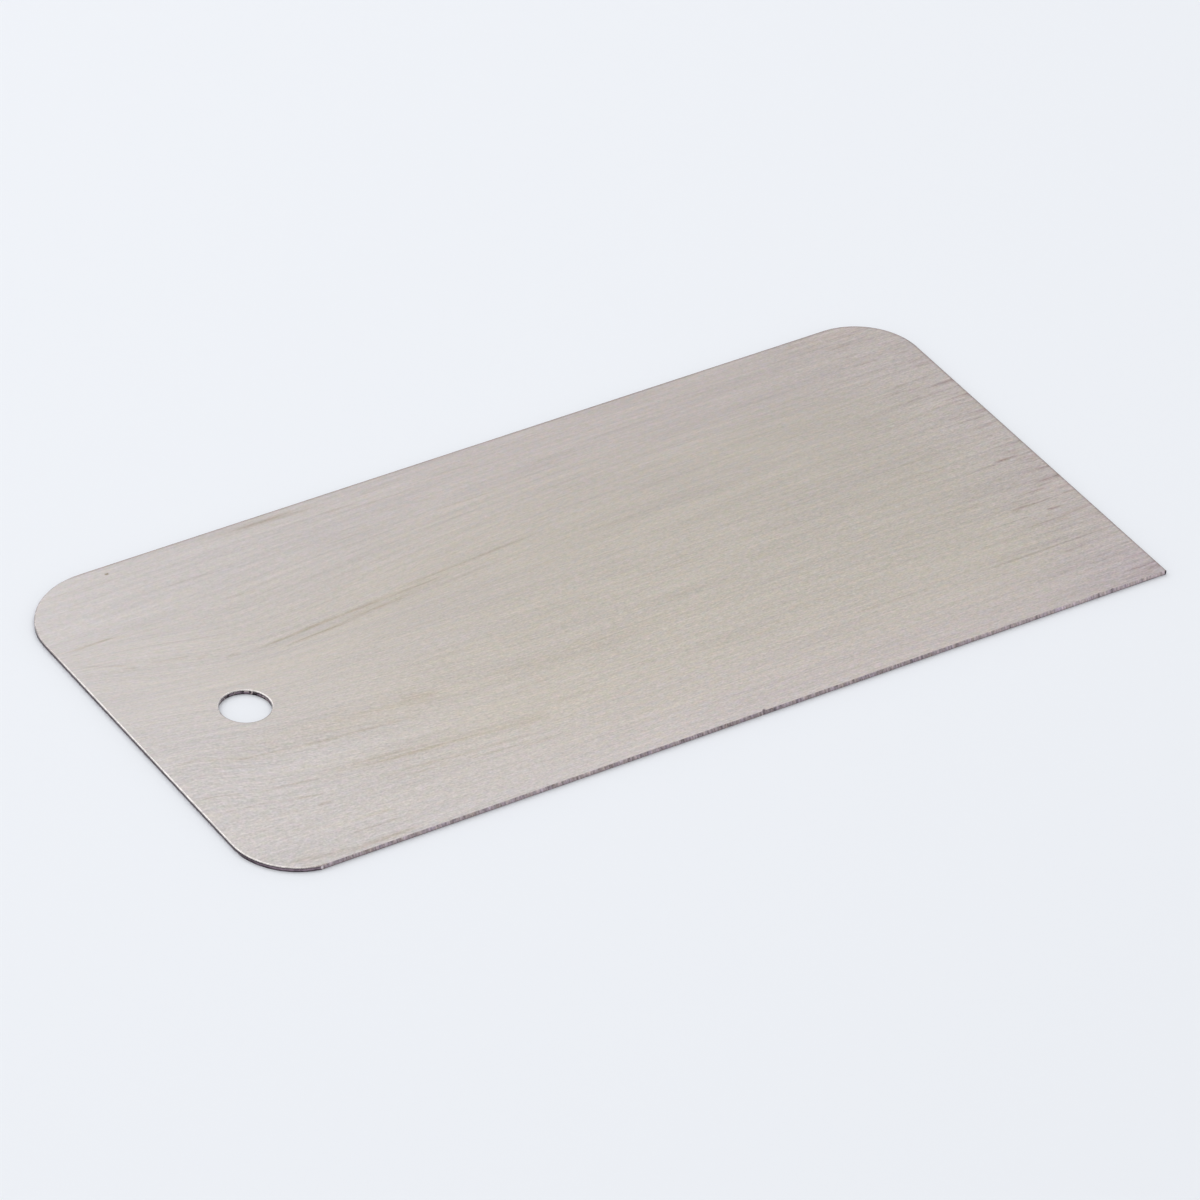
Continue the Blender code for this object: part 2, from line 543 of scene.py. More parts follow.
@dataclass(frozen=True)
class BrushedSteel:
    """Rolled spring steel, brushed along its length, with rubbed streaks, a warm stain, painted light and
    shade on its front and corners, and a painted shade line along its back and plain rims.
    """

    smears: tuple[Smear, ...]
    half_length: float
    half_width: float
    plain_radius: float

    # The metal's colours, and the share of each light that a mark takes away
    hanging_end: Colour = (0.592, 0.556, 0.546)
    plain_end: Colour = (0.600, 0.544, 0.525)
    stained: Colour = (0.577, 0.530, 0.477)
    # The colour of the painted shade along the back and plain rims
    rim_shade_colour: Colour = (0.470, 0.400, 0.385)
    bruised: Colour = (0.570, 0.510, 0.520)
    brown_wear: Colour = (0.85, 1.00, 1.20)
    red_wear: Colour = (0.88, 1.09, 1.06)

    # Patterns along the brushing
    grain: Pattern = Pattern(1.10, 5.0, 1.0, 0.5)
    speckle: Pattern = Pattern(3.2, 5.5, 1.0, 0.5, 90.0)
    lines: Pattern = Pattern(0.07, 2.6, 3.0, 0.65, 10.0)
    streak: Pattern = Pattern(0.04, 0.60, 3.0, 0.6, 20.0)
    cloud: Pattern = Pattern(0.03, 0.16, 2.0, 0.5, 30.0)
    bundle: Pattern = Pattern(0.10, 2.6, 2.0, 0.6, 40.0)
    dash: Pattern = Pattern(0.16, 1.6, 2.0, 0.6, 50.0)
    score: Pattern = Pattern(0.05, 1.7, 1.0, 0.5, 80.0)
    redness: Pattern = Pattern(0.8, 1.3, 2.0, 0.7, 60.0)
    blueness: Pattern = Pattern(0.8, 1.3, 2.0, 0.7, 70.0)
    rosiness: Pattern = Pattern(1.0, 1.5, 2.0, 0.6, 100.0)

    # Where a pattern's marks begin and are full
    bundle_edge: Span = (-0.09, 0.13)
    dash_edge: Span = (0.05, 0.20)
    score_edge: Span = (0.12, 0.26)
    smear_end: Span = (1.0, 0.3)

    # How much lighter or darker they make the face
    grain_tone: float = 0.27
    speckle_tone: float = 0.31
    line_tone: float = 0.34
    streak_tone: float = 0.20
    cloud_tone: float = 0.08
    # Painted light on the back corner and painted shade on the front corner
    corner_light_tone: float = 0.03
    # Painted light on the front, fading out towards the plain end
    front_light_tone: float = 0.035
    dash_depth: float = 0.16
    score_depth: float = 0.06
    bundle_depth: float = 0.8
    between_bundles: float = 0.6
    scuffed_contrast: float = 0.40

    # How keenly the fine grain shows
    least_keen: float = 0.72
    used_keen: float = 0.70
    evened_keen: float = 0.27
    evened_loss: float = -0.75

    # Stain and drift of hue
    stain_depth: float = 0.95
    stain_cloud: float = 1.4
    stain_streak: float = 1.2
    stained_uneven: float = 0.6
    bare_uneven: float = 0.4
    smear_stain: float = 3.5
    red_drift: float = 0.12
    blue_drift: float = 0.20
    rose_drift: float = 0.14
    clearer_drift: float = 0.45

    # Places in millimetres from the blade's centre, and heights above its underside
    fall: Zone = Zone((-8.0, -68.0), (4.0, -8.0))
    fall_share: float = 0.30
    bends: tuple[Bend, ...] = (
        Bend((-36.0, -66.0), (-8.0, 4.0), (21.0, 12.0), 7.0),
        Bend((20.0, -55.0), (2.0, 8.0), (28.0, 12.0), -4.5),
        Bend((-47.0, -58.0), (-23.0, -10.0), (-1.0, -7.0), 1.5),
    )
    # Where the corners' painted light and painted shade lie
    back_corner: Zone = Zone((-38.0, -58.0), (14.0, 26.0))
    front_corner: Zone = Zone((-38.0, -52.0), (-22.0, -29.0))
    square_corner: Zone = Zone((44.0, 60.0), (-18.0, -30.0))
    # Where the front's painted light lies, and where it fades out towards the plain end
    lit_front: Zone = Zone((-48.0, -12.0), (0.0, -24.0))
    front_light_end_x: Span = (60.0, 42.0)
    plain_end_x: Span = (-60.0, 30.0)
    scuffed_x: Span = (38.0, 60.0)
    evened_x: Span = (28.0, 50.0)
    clearer_x: Span = (-32.0, 4.0)
    used_y: Span = (22.0, -12.0)
    upper_z: Span = (0.1, 0.5)

    # Distances in from the edges
    stain_from_back: Span = (0.0, 22.0)
    stain_from_front: Span = (-3.0, 15.0)
    stain_from_plain_end: Span = (-3.0, 18.0)
    stain_from_hanging_end: Span = (-10.0, 55.0)
    # How far in from the rim the painted shade line reaches
    rim_shade_span: Span = (0.45, 0.15)

    # Gloss
    roughness: float = 0.38
    line_roughness: float = 0.12
    anisotropy: float = 0.4
    bump_strength: float = 0.25
    bump_height: float = 0.01 * MM

    def brush_line(self, at: Spot) -> Socket:
        """Finds the brush line that a place lies on: the lines bend round the hanging hole.

        Args:
            at: The place on the face.

        Returns:
            The Y that the line has at the plain end.
        """
        graph = at.graph
        from_front = graph.math("ADD", at.y, self.half_width)
        shifts = [graph.product(from_front, self.fall_share, at.inside(self.fall))]
        for bend in self.bends:
            share = graph.within((at.y, bend.front), (at.y, bend.back), (at.x, bend.x))
            shifts.append(graph.product(share, bend.shift))
        return graph.math("SUBTRACT", at.y, graph.total(*shifts))

    def smear_group(self) -> bpy.types.NodeTree:
        """Makes the node group that draws one rubbed streak.

        Returns:
            The group, from a place and the streak's own numbers to its strength.
        """
        group = bpy.data.node_groups.new("rubbed_streak", "ShaderNodeTree")
        for name in ("X", "Y", "Middle X", "Middle Y", "Half length", "Slope", "Half width"):
            group.interface.new_socket(name, in_out="INPUT", socket_type="NodeSocketFloat")
        group.interface.new_socket("Strength", in_out="OUTPUT", socket_type="NodeSocketFloat")
        graph = ShaderGraph(group)
        given = group.nodes.new("NodeGroupInput").outputs
        result = group.nodes.new("NodeGroupOutput")
        along = graph.math("SUBTRACT", given["X"], given["Middle X"])
        reach = graph.math("DIVIDE", graph.size(along), given["Half length"])
        own = graph.lift(along, given["Slope"], given["Middle Y"])
        offset = graph.math("DIVIDE", graph.math("SUBTRACT", given["Y"], own), given["Half width"])
        body = graph.math("EXPONENT", graph.product(offset, offset, -1.0))
        graph.feed(result.inputs[0], graph.product(graph.fade(reach, self.smear_end), body))
        return group

    def smear_depth(self, at: Spot) -> Socket:
        """Draws all the rubbed streaks.

        Args:
            at: The place on the face.

        Returns:
            How much darker the face is there.
        """
        graph = at.graph
        group = self.smear_group()
        parts = []
        for smear in self.smears:
            drawn = graph.node("Group", node_tree=group)
            numbers = (*smear.middle, smear.half_length, smear.slope, smear.half_width)
            parts.append(graph.product(graph.fill(drawn, (at.x, at.y, *numbers)), smear.depth))
        return graph.total(*parts)

    def stain_patch(self, at: Spot) -> Socket:
        """Shapes the warm stain: it fills the middle and leaves the far edge and the ends bare.

        Args:
            at: The place on the face.

        Returns:
            How stained the face is there.
        """
        graph = at.graph
        return graph.within(
            (graph.math("SUBTRACT", self.half_width, at.y), self.stain_from_back),
            (graph.math("ADD", self.half_width, at.y), self.stain_from_front),
            (graph.math("SUBTRACT", self.half_length, at.x), self.stain_from_plain_end),
            (graph.math("ADD", self.half_length, at.x), self.stain_from_hanging_end),
        )

    def painted_rim_shade(self, at: Spot) -> Socket:
        """Paints a narrow line of shade along the back and plain rims.

        Args:
            at: The place on the face.

        Returns:
            How much painted shade the face has there.
        """
        graph = at.graph
        past_x = graph.math("SUBTRACT", at.x, self.half_length - self.plain_radius)
        past_y = graph.math("SUBTRACT", at.y, self.half_width - self.plain_radius)
        reach = graph.reach(graph.math("MAXIMUM", past_x, 0.0), graph.math("MAXIMUM", past_y, 0.0))
        return graph.fade(graph.math("SUBTRACT", self.plain_radius, reach), self.rim_shade_span)

    def keenness(self, at: Spot) -> Socket:
        """Finds how keenly the fine grain shows: more towards the front, and evenly at the plain end.

        Args:
            at: The place on the face.

        Returns:
            What the fine grain is multiplied by there.
        """
        graph = at.graph
        evened = graph.fade(at.x, self.evened_x)
        used = graph.product(graph.fade(at.y, self.used_y), graph.lift(evened, self.evened_loss, 1.0))
        return graph.total(
            self.least_keen, graph.product(used, self.used_keen), graph.product(evened, self.evened_keen)
        )

    def painted_light_and_shade(self, at: Spot) -> Socket:
        """Paints light on the front and the back corner, and paints shade on the front corner.

        Args:
            at: The place on the face.

        Returns:
            How much painted light the face gets there; below zero it is painted shade.
        """
        graph = at.graph
        front_light = graph.product(graph.fade(at.x, self.front_light_end_x), self.front_light_tone)
        corners = graph.math("SUBTRACT", at.inside(self.back_corner), at.inside(self.front_corner))
        return graph.total(
            graph.product(at.inside(self.lit_front), front_light), graph.product(corners, self.corner_light_tone)
        )

    def hue_drift(self, brushed: Spot) -> Socket:
        """Lets the hue of the metal drift a little in small flecks.

        Args:
            brushed: The place on the face, with its brush line for Y.

        Returns:
            What the colour is multiplied by there.
        """
        graph = brushed.graph
        rose = graph.lift(self.rosiness.over(brushed), self.rose_drift, 1.0)
        clearer = graph.lift(graph.fade(brushed.x, self.clearer_x), self.clearer_drift, 1.0)
        to_red = graph.product(self.redness.over(brushed), clearer)
        to_blue = graph.product(self.blueness.over(brushed), clearer)
        return graph.combine(
            graph.lift(to_red, self.red_drift, rose), 1.0, graph.lift(to_blue, self.blue_drift, rose)
        )

    def polish(self, graph: ShaderGraph, shader: bpy.types.Node, grain: Socket, gloss: Socket) -> None:
        """Sets how the face reflects: stretched across the brushing, with the grain in relief.

        Args:
            graph: The material's graph.
            shader: Its shader node.
            grain: The grain's height.
            gloss: The roughness.
        """
        graph.feed(shader.inputs["Roughness"], gloss)
        shader.inputs["Anisotropic"].default_value = self.anisotropy
        tangent = graph.node("Tangent", direction_type="UV_MAP", uv_map=BAKE_MAP)
        graph.feed(shader.inputs["Tangent"], tangent.outputs[0])
        bump = graph.node("Bump")
        graph.feed(bump.inputs["Strength"], self.bump_strength)
        graph.feed(bump.inputs["Distance"], self.bump_height)
        graph.feed(bump.inputs["Height"], grain)
        graph.feed(shader.inputs["Normal"], bump.outputs[0])

    def build(self) -> bpy.types.Material:
        """Makes the finish.

        Returns:
            The material.
        """
        material, shader, at = steel_shader("brushed_steel")
        graph = at.graph
        brushed = Spot(graph, at.x, self.brush_line(at), at.z)
        grain = self.grain.over(brushed)
        lines = self.lines.over(brushed)
        streak = self.streak.over(brushed)
        cloud = self.cloud.over(brushed)
        scuffed = graph.fade(at.x, self.scuffed_x)

        # Marks that darken the face
        bundle = graph.fade(self.bundle.over(brushed), self.bundle_edge)
        bundles = graph.lift(bundle, self.bundle_depth, self.between_bundles)
        upper = graph.product(bundles, graph.fade(at.z, self.upper_z))
        rubbed = graph.product(self.smear_depth(at), upper)
        dash = graph.fade(self.dash.over(brushed), self.dash_edge)
        dashes = graph.product(dash, graph.product(scuffed, self.dash_depth))
        score = graph.fade(self.score.over(brushed), self.score_edge)
        darker = graph.total(rubbed, dashes, graph.product(score, self.score_depth))
        wear = graph.scale(graph.blend(scuffed, self.brown_wear, self.red_wear), darker)

        # Light and dark of the grain
        speckle = graph.product(self.speckle.over(brushed), self.speckle_tone)
        fine = graph.total(graph.product(grain, self.grain_tone), speckle)
        texture = graph.total(
            graph.product(fine, self.keenness(at)),
            graph.product(lines, self.line_tone),
            graph.product(streak, self.streak_tone),
        )
        contrast = graph.lift(scuffed, self.scuffed_contrast, 1.0)
        # The level adds painted light on the front and the back corner, and painted shade on the front
        # corner
        level = graph.total(
            graph.lift(texture, contrast, 1.0), graph.product(cloud, self.cloud_tone), self.painted_light_and_shade(at)
        )
        levels = graph.vector("SUBTRACT", graph.combine(level, level, level), wear)

        # Stain, bruise and painted rim shade
        patch = self.stain_patch(at)
        clouded = graph.total(
            graph.product(cloud, self.stain_cloud), graph.product(streak, self.stain_streak)
        )
        stain = graph.total(
            graph.product(patch, self.stain_depth),
            graph.product(clouded, graph.lift(patch, self.stained_uneven, self.bare_uneven)),
            graph.product(rubbed, graph.lift(scuffed, -self.smear_stain, self.smear_stain)),
        )
        bare = graph.blend(graph.fade(at.x, self.plain_end_x), self.hanging_end, self.plain_end)
        bruised = graph.blend(
            at.inside(self.square_corner), graph.blend(stain, bare, self.stained), self.bruised
        )
        # Painted shade along the back and plain rims
        rim_shaded = graph.blend(self.painted_rim_shade(at), bruised, self.rim_shade_colour)
        drifted = graph.vector("MULTIPLY", rim_shaded, self.hue_drift(brushed))
        graph.feed(shader.inputs["Base Color"], graph.vector("MULTIPLY", drifted, levels))

        worn = graph.lift(lines, self.line_roughness, self.roughness)
        gloss = graph.math("ADD", worn, graph.math("MAXIMUM", rubbed, 0.0))
        self.polish(graph, shader, grain, gloss)
        return material


@dataclass(frozen=True)
class RolledRim:
    """The upper rim that the punch drew down: a painted highlight at the hanging end and the back of the
    hole, and painted shade elsewhere.
    """

    hole_x: float
    hole_y: float
    # The painted highlight, the painted shade, and the paler painted shade at the back corner
    bright: Colour = (0.76, 0.72, 0.70)
    dull: Colour = (0.37, 0.30, 0.285)
    paler_rim_shade: Colour = (0.57, 0.52, 0.51)
    # Where the painted highlight runs along the hanging end's rim
    handled: Zone = Zone((-50.5, -57.5), (23.0, 13.0))
    # Where the rim's painted shade is paler
    back_corner: Zone = Zone((-46.0, -52.0), (16.0, 22.0))
    dull_side: tuple[float, float] = (0.5, 0.87)
    dull_reach: Span = (1.8, 0.5)
    hole_reach: Span = (5.0, 4.0)
    spots: Pattern = Pattern(1.0, 1.0, 4.0, 0.7, through=1.0)
    spot_tone: float = 1.4
    plain_tone: float = 0.95
    most_tone: float = 1.12
    roughness: float = 0.26
    spot_roughness: float = 0.3

    def lit_hole(self, at: Spot) -> Socket:
        """Finds the back of the hanging hole's rim, which gets a painted highlight; its front gets painted
        shade.

        Args:
            at: The place on the rim.

        Returns:
            How much painted highlight the rim gets there.
        """
        graph = at.graph
        to_end = graph.math("SUBTRACT", self.hole_x, at.x)
        to_front = graph.math("SUBTRACT", self.hole_y, at.y)
        along, across = self.dull_side
        dull = graph.total(graph.product(to_end, along), graph.product(to_front, across))
        return graph.within((dull, self.dull_reach), (graph.reach(to_end, to_front), self.hole_reach))

    def build(self) -> bpy.types.Material:
        """Makes the finish.

        Returns:
            The material.
        """
        material, shader, at = steel_shader("rolled_rim")
        graph = at.graph
        # Painted highlight along the hanging end and the back of the hole, painted shade elsewhere, paler
        # at the back corner
        lit = graph.math("MAXIMUM", at.inside(self.handled), self.lit_hole(at))
        unlit = graph.blend(at.inside(self.back_corner), self.dull, self.paler_rim_shade)
        spots = self.spots.over(at)
        level = graph.math("MINIMUM", graph.lift(spots, self.spot_tone, self.plain_tone), self.most_tone)
        colour = graph.scale(graph.blend(lit, unlit, self.bright), level)
        graph.feed(shader.inputs["Base Color"], colour)
        graph.feed(shader.inputs["Roughness"], graph.lift(spots, self.spot_roughness, self.roughness))
        return material


@dataclass(frozen=True)
class PunchedWall:
    """The punched wall: a dark burnished line under the rim, a paler cut band and a dark torn foot.

    A bright burr stands along the foot of the hanging end, and the hole's wall is patchy and chipped.
    Heights are shares of the thickness.
    """

    thickness: float
    burnished: Colour = (0.080, 0.056, 0.068)
    cut: Colour = (0.275, 0.212, 0.25)
    torn: Colour = (0.090, 0.063, 0.077)
    burr: Colour = (0.80, 0.78, 0.79)
    chip: Colour = (0.60, 0.51, 0.48)
    ragged: Pattern = Pattern(2.2, 2.2, 3.0, 0.65, through=1.2)
    patches: Pattern = Pattern(1.5, 1.5, 2.0, 0.6, through=1.5)
    chips: Pattern = Pattern(3.2, 3.2, 1.0, 0.5, through=2.0)
    raggedness: float = 0.5
    foot_height: Span = (0.14, 0.30)
    rim_height: Span = (0.56, 0.72)
    burr_height: Span = (0.28, 0.14)
    burr_x: Span = (-59.70, -59.96)
    end_x: Span = (-58.8, -59.6)
    end_shade: float = -0.55
    middle_y: Span = (16.0, 8.0)
    middle_shade: float = -0.4
    bore_x: Span = (-54.0, -51.0)
    bore_y: Span = (8.0, 5.0)
    patch_edge: Span = (-0.10, 0.10)
    patch_tone: float = 0.45
    plain_tone: float = 0.75
    bore_patch_tone: float = 0.95
    bore_shade: float = -0.45
    chip_edge: Span = (0.10, 0.17)
    chip_share: float = 0.8
    torn_roughness: float = 0.55
    cut_polish: float = -0.2

    def build(self) -> bpy.types.Material:
        """Makes the finish.

        Returns:
            The material.
        """
        material, shader, at = steel_shader("punched_wall")
        graph = at.graph
        from_middle = graph.size(at.y)
        in_bore = graph.within((from_middle, self.bore_y), (at.x, self.bore_x))

        # Bands up the wall
        share = graph.math("DIVIDE", at.z, self.thickness)
        height = graph.math("ADD", share, graph.product(self.ragged.over(at), self.raggedness))
        above_foot = graph.fade(height, self.foot_height)
        under_rim = graph.fade(height, self.rim_height)
        bands = graph.blend(under_rim, graph.blend(above_foot, self.torn, self.cut), self.burnished)

        # Shade and patches along it
        end_wall = graph.lift(graph.fade(at.x, self.end_x), self.end_shade, 1.0)
        middle_wall = graph.lift(graph.fade(from_middle, self.middle_y), self.middle_shade, 1.0)
        patch = graph.fade(self.patches.over(at), self.patch_edge)
        patch_tone = graph.lift(in_bore, self.bore_patch_tone, self.patch_tone)
        mottled = graph.total(
            graph.lift(in_bore, self.bore_shade, self.plain_tone), graph.product(patch, patch_tone)
        )
        level = graph.product(mottled, graph.math("MINIMUM", end_wall, middle_wall))

        # Chips in the hole and the burr of the hanging end
        chip = graph.fade(self.chips.over(at), self.chip_edge)
        chipped = graph.product(chip, graph.product(in_bore, self.chip_share))
        burred = graph.within((height, self.burr_height), (at.x, self.burr_x))
        bored = graph.blend(chipped, graph.scale(bands, level), self.chip)
        graph.feed(shader.inputs["Base Color"], graph.blend(burred, bored, self.burr))
        gloss = graph.lift(above_foot, self.cut_polish, self.torn_roughness)
        graph.feed(shader.inputs["Roughness"], gloss)
        return material


@dataclass(frozen=True)
class Gouge:
    """A dark mark across the ground edge, by its place along the blade in millimetres."""

    x: float
    depth: float


@dataclass(frozen=True)
class GroundEdge:
    """The scraping edge: ground across its thickness, so its lines stand upright.

    It has dark gouges, a darker foot towards its ends, a dark tip and a bright burr at the kink.
    """

    half_length: float
    kink_x: float
    dark: Colour = (0.205, 0.163, 0.170)
    bright: Colour = (0.78, 0.66, 0.675)
    tip: Colour = (0.05, 0.04, 0.045)
    burr: Colour = (0.82, 0.76, 0.77)
    broad: Pattern = Pattern(0.25, 0.7, 2.0, 0.65)
    coarse: Pattern = Pattern(1.3, 0.7, 3.0, 0.65, 8.0)
    fine: Pattern = Pattern(3.7, 0.7, 2.0, 0.65, 4.0)
    tint: Pattern = Pattern(0.9, 0.7, 2.0, 0.65, 12.0)
    line_slant: float = 0.25
    plain_tone: float = 0.42
    fresh_x: Span = (24.0, 44.0)
    fresh_tone: float = 0.14
    handled_from: Span = (-20.0, -6.0)
    handled_to: Span = (42.0, 34.0)
    handled_tone: float = -0.07
    broad_tone: float = 0.35
    coarse_tone: float = 0.95
    fine_tone: float = 1.75
    tint_tone: float = 0.60
    gouges: tuple[Gouge, ...] = (
        Gouge(4.6, 0.50),
        Gouge(5.3, 0.40),
        Gouge(6.1, 0.45),
        Gouge(24.6, 0.30),
        Gouge(41.8, 0.30),
        Gouge(50.5, 0.50),
        Gouge(52.4, 0.45),
    )
    gouge_width: Span = (0.30, 0.06)
    foot_z: Span = (0.16, 0.04)
    foot_x: Span = (25.0, 42.0)
    foot_share: float = 0.35
    tip_width: Span = (0.30, 0.12)
    kink_lean: float = -0.3
    kink_shift: float = 0.06
    kink_width: Span = (0.16, 0.05)
    kink_z: Span = (0.62, 0.25)
    roughness: float = 0.34
    line_roughness: float = 0.25

    def gouged(self, at: Spot) -> Socket:
        """Marks the dark gouges across the edge.

        Args:
            at: The place on the edge.

        Returns:
            How dark it is there.
        """
        graph = at.graph
        marks = []
        for gouge in self.gouges:
            away = graph.size(graph.math("SUBTRACT", at.x, gouge.x))
            marks.append(graph.product(graph.fade(away, self.gouge_width), gouge.depth))
        return graph.total(*marks)

    def at_kink(self, at: Spot) -> Socket:
        """Finds the leaning burr where the ground edge meets the rounded corner.

        Args:
            at: The place on the edge.

        Returns:
            How far on the burr it is.
        """
        graph = at.graph
        lean = graph.lift(at.z, self.kink_lean, at.x)
        away = graph.size(graph.math("SUBTRACT", lean, self.kink_x + self.kink_shift))
        return graph.within((away, self.kink_width), (at.z, self.kink_z))

    def build(self) -> bpy.types.Material:
        """Makes the finish.

        Returns:
            The material.
        """
        material, shader, at = steel_shader("ground_edge")
        graph = at.graph
        # The lines stand up the edge, so their patterns run along X and up Z
        upright = Spot(graph, graph.lift(at.z, self.line_slant, at.x), at.z, 0.0)
        fine = self.fine.over(upright)
        handled = graph.within((at.x, self.handled_from), (at.x, self.handled_to))
        lines = graph.total(
            self.plain_tone,
            graph.product(graph.fade(at.x, self.fresh_x), self.fresh_tone),
            graph.product(handled, self.handled_tone),
            graph.product(self.broad.over(upright), self.broad_tone),
            graph.product(self.coarse.over(upright), self.coarse_tone),
            graph.product(fine, self.fine_tone),
        )
        tint = graph.combine(1.0, 1.0, graph.lift(self.tint.over(upright), self.tint_tone, 1.0))
        tinted = graph.vector("MULTIPLY", graph.blend(lines, self.dark, self.bright), tint)
        ground = graph.blend(self.gouged(at), tinted, self.tip)
        foot = graph.within((at.z, self.foot_z), (graph.size(at.x), self.foot_x))
        footed = graph.blend(graph.product(foot, self.foot_share), ground, self.dark)
        to_tip = graph.math("SUBTRACT", self.half_length, at.x)
        tipped = graph.blend(graph.fade(to_tip, self.tip_width), footed, self.tip)
        graph.feed(shader.inputs["Base Color"], graph.blend(self.at_kink(at), tipped, self.burr))
        graph.feed(shader.inputs["Roughness"], graph.lift(fine, self.line_roughness, self.roughness))
        return material


@dataclass(frozen=True)
class Nick:
    """A small dent in the ground edge's upper arris, by its place along the blade."""

    x: float
    half_width: float
    depth: float


@dataclass(frozen=True)
class FlatLayout:
    """Where the parts of the surface lie on its flat map, in shares of the map's side."""

    scale: float = 0.0078 / MM
    left: float = 0.032
    underside: float = 0.006
    front_wall: float = 0.480
    back_wall: float = 0.490
    end_walls: float = 0.500
    plain_end_left: float = 0.532
    upper_face: float = 0.526


def round_off(radius: float, steps: int, affect: str) -> None:
    """Rounds the selected corners or edges.

    Args:
        radius: How far from the corner the round starts.
        steps: How many facets it has.
        affect: VERTICES for corners, EDGES for edges.
    """
    bpy.ops.mesh.bevel(
        offset=radius, offset_type="OFFSET", segments=steps, profile=ROUND_PROFILE, affect=affect
    )


def cut(place: tuple[float, ...], normal: tuple[float, ...], **options: Any) -> None:
    """Cuts the selected faces along a plane.

    Args:
        place: A point on the plane.
        normal: The plane's normal.
        options: Whether one side is cleared and the cut is filled.
    """
    bpy.ops.mesh.bisect(plane_co=place, plane_no=normal, threshold=CUT_NEAR, **options)


@dataclass
class ScraperBlade:
    """The whole scraper: one punched and ground sheet of steel."""

    low: Vector
    high: Vector
    hole_centre: Vector
    hole_diameter: float = 6.0 * MM
    hanging_back_radius: float = 10.0 * MM
    hanging_front_radius: float = 8.25 * MM
    plain_back_radius: float = 8.1 * MM
    grinding_allowance: float = 0.16 * MM
    roll_over: float = 0.15 * MM
    tear_slope: float = 0.03 * MM
    tear_share: float = 0.55
    punch_in_thicknesses: float = 6.0
    end_cap: float = 0.7 * MM
    grind_depth: float = 0.02 * MM
    grind_pitch: float = 0.4 * MM
    grind_layers: int = 2
    nicks: tuple[Nick, ...] = (
        Nick(4.6 * MM, 0.25 * MM, 0.24 * MM),
        Nick(-21.0 * MM, 0.15 * MM, 0.05 * MM),
        Nick(27.5 * MM, 0.15 * MM, 0.06 * MM),
        Nick(50.5 * MM, 0.20 * MM, 0.09 * MM),
        Nick(52.4 * MM, 0.15 * MM, 0.07 * MM),
    )

    # Facets and shading
    corner_steps: int = 28
    hole_steps: int = 112
    roll_steps: int = 6
    edge_cuts: tuple[int, ...] = (100, 5)
    shortest_cut_run: float = 1.0 * MM
    smooth_angle: float = math.radians(35.0)
    normal_weight: int = 50
    layout: FlatLayout = FlatLayout()

    # How regions are told apart, by their normals and by depth behind the scraping edge
    flat_normal: float = 0.999
    wall_normal: float = 0.5
    rolled_normal: float = 0.25
    ground_band: float = 0.3 * MM

    piece: bpy.types.Object | None = field(default=None, init=False)

    @property
    def thickness(self) -> float:
        """The sheet's thickness."""
        return self.high.z - self.low.z

    @property
    def kink_x(self) -> float:
        """Where the ground edge cuts into the rounded hanging corner."""
        radius, allowance = self.hanging_front_radius, self.grinding_allowance
        return self.low.x + radius - math.sqrt(2.0 * radius * allowance - allowance**2)

    @property
    def tear_height(self) -> float:
        """How high the torn band of the punched wall reaches."""
        return self.low.z + self.tear_share * (self.thickness - self.roll_over)

    def build(self) -> bpy.types.Object:
        """Models the blade in the order that it is made.

        Returns:
            The blade's object.
        """
        self.lay_blank()
        self.round_corners()
        self.raise_sheet()
        self.punch_hole()
        self.slope_tear()
        self.roll_rims()
        self.grind_edge()
        self.score_edge()
        self.nick_edge()
        self.smooth()
        self.unwrap()
        return self.piece

    def lay_blank(self) -> None:
        """Lays out the flat blank, with its grinding allowance on the scraping side."""
        size = self.high - self.low
        bpy.ops.object.select_all(action="DESELECT")
        bpy.ops.mesh.primitive_plane_add(size=1.0, location=(0.0, 0.0, 0.0))
        self.piece = bpy.context.object
        self.piece.name = self.piece.data.name = "blade"
        with editing(self.piece):
            blank = (size.x, size.y + self.grinding_allowance, 1.0)
            bpy.ops.mesh.select_all(action="SELECT")
            bpy.ops.transform.resize(value=blank, center_override=(0.0, 0.0, 0.0))
            middle = (self.low + self.high) / 2.0
            shift = (middle.x, middle.y - self.grinding_allowance / 2.0, self.low.z)
            bpy.ops.transform.translate(value=shift)

    def round_corners(self) -> None:
        """Rounds three corners of the blank; the fourth stays square."""
        front = self.low.y - self.grinding_allowance
        corners = (
            (self.low.x, self.high.y, self.hanging_back_radius),
            (self.low.x, front, self.hanging_front_radius),
            (self.high.x, self.high.y, self.plain_back_radius),
        )
        with editing(self.piece):
            for x, y, radius in corners:
                corner = Vector((x, y, self.low.z))
                select(self.piece, Element.VERTS, lambda v: (v.co - corner).length < NEAR)
                round_off(radius, self.corner_steps, "VERTICES")

    def raise_sheet(self) -> None:
        """Gives the blank its thickness, upwards, with its faces in the same order in each run."""
        apply_modifier(self.piece, "SOLIDIFY", thickness=self.thickness, offset=1.0)

    def punch_hole(self) -> None:
        """Punches the hanging hole with a round punch."""
        bpy.ops.object.select_all(action="DESELECT")
        bpy.ops.mesh.primitive_cylinder_add(
            vertices=self.hole_steps,
            radius=self.hole_diameter / 2.0,
            depth=self.punch_in_thicknesses * self.thickness,
            location=(self.hole_centre.x, self.hole_centre.y, self.low.z),
        )
        punch = bpy.context.object
        apply_modifier(self.piece, "BOOLEAN", operation="DIFFERENCE", solver="EXACT", object=punch)
        bpy.data.objects.remove(punch)

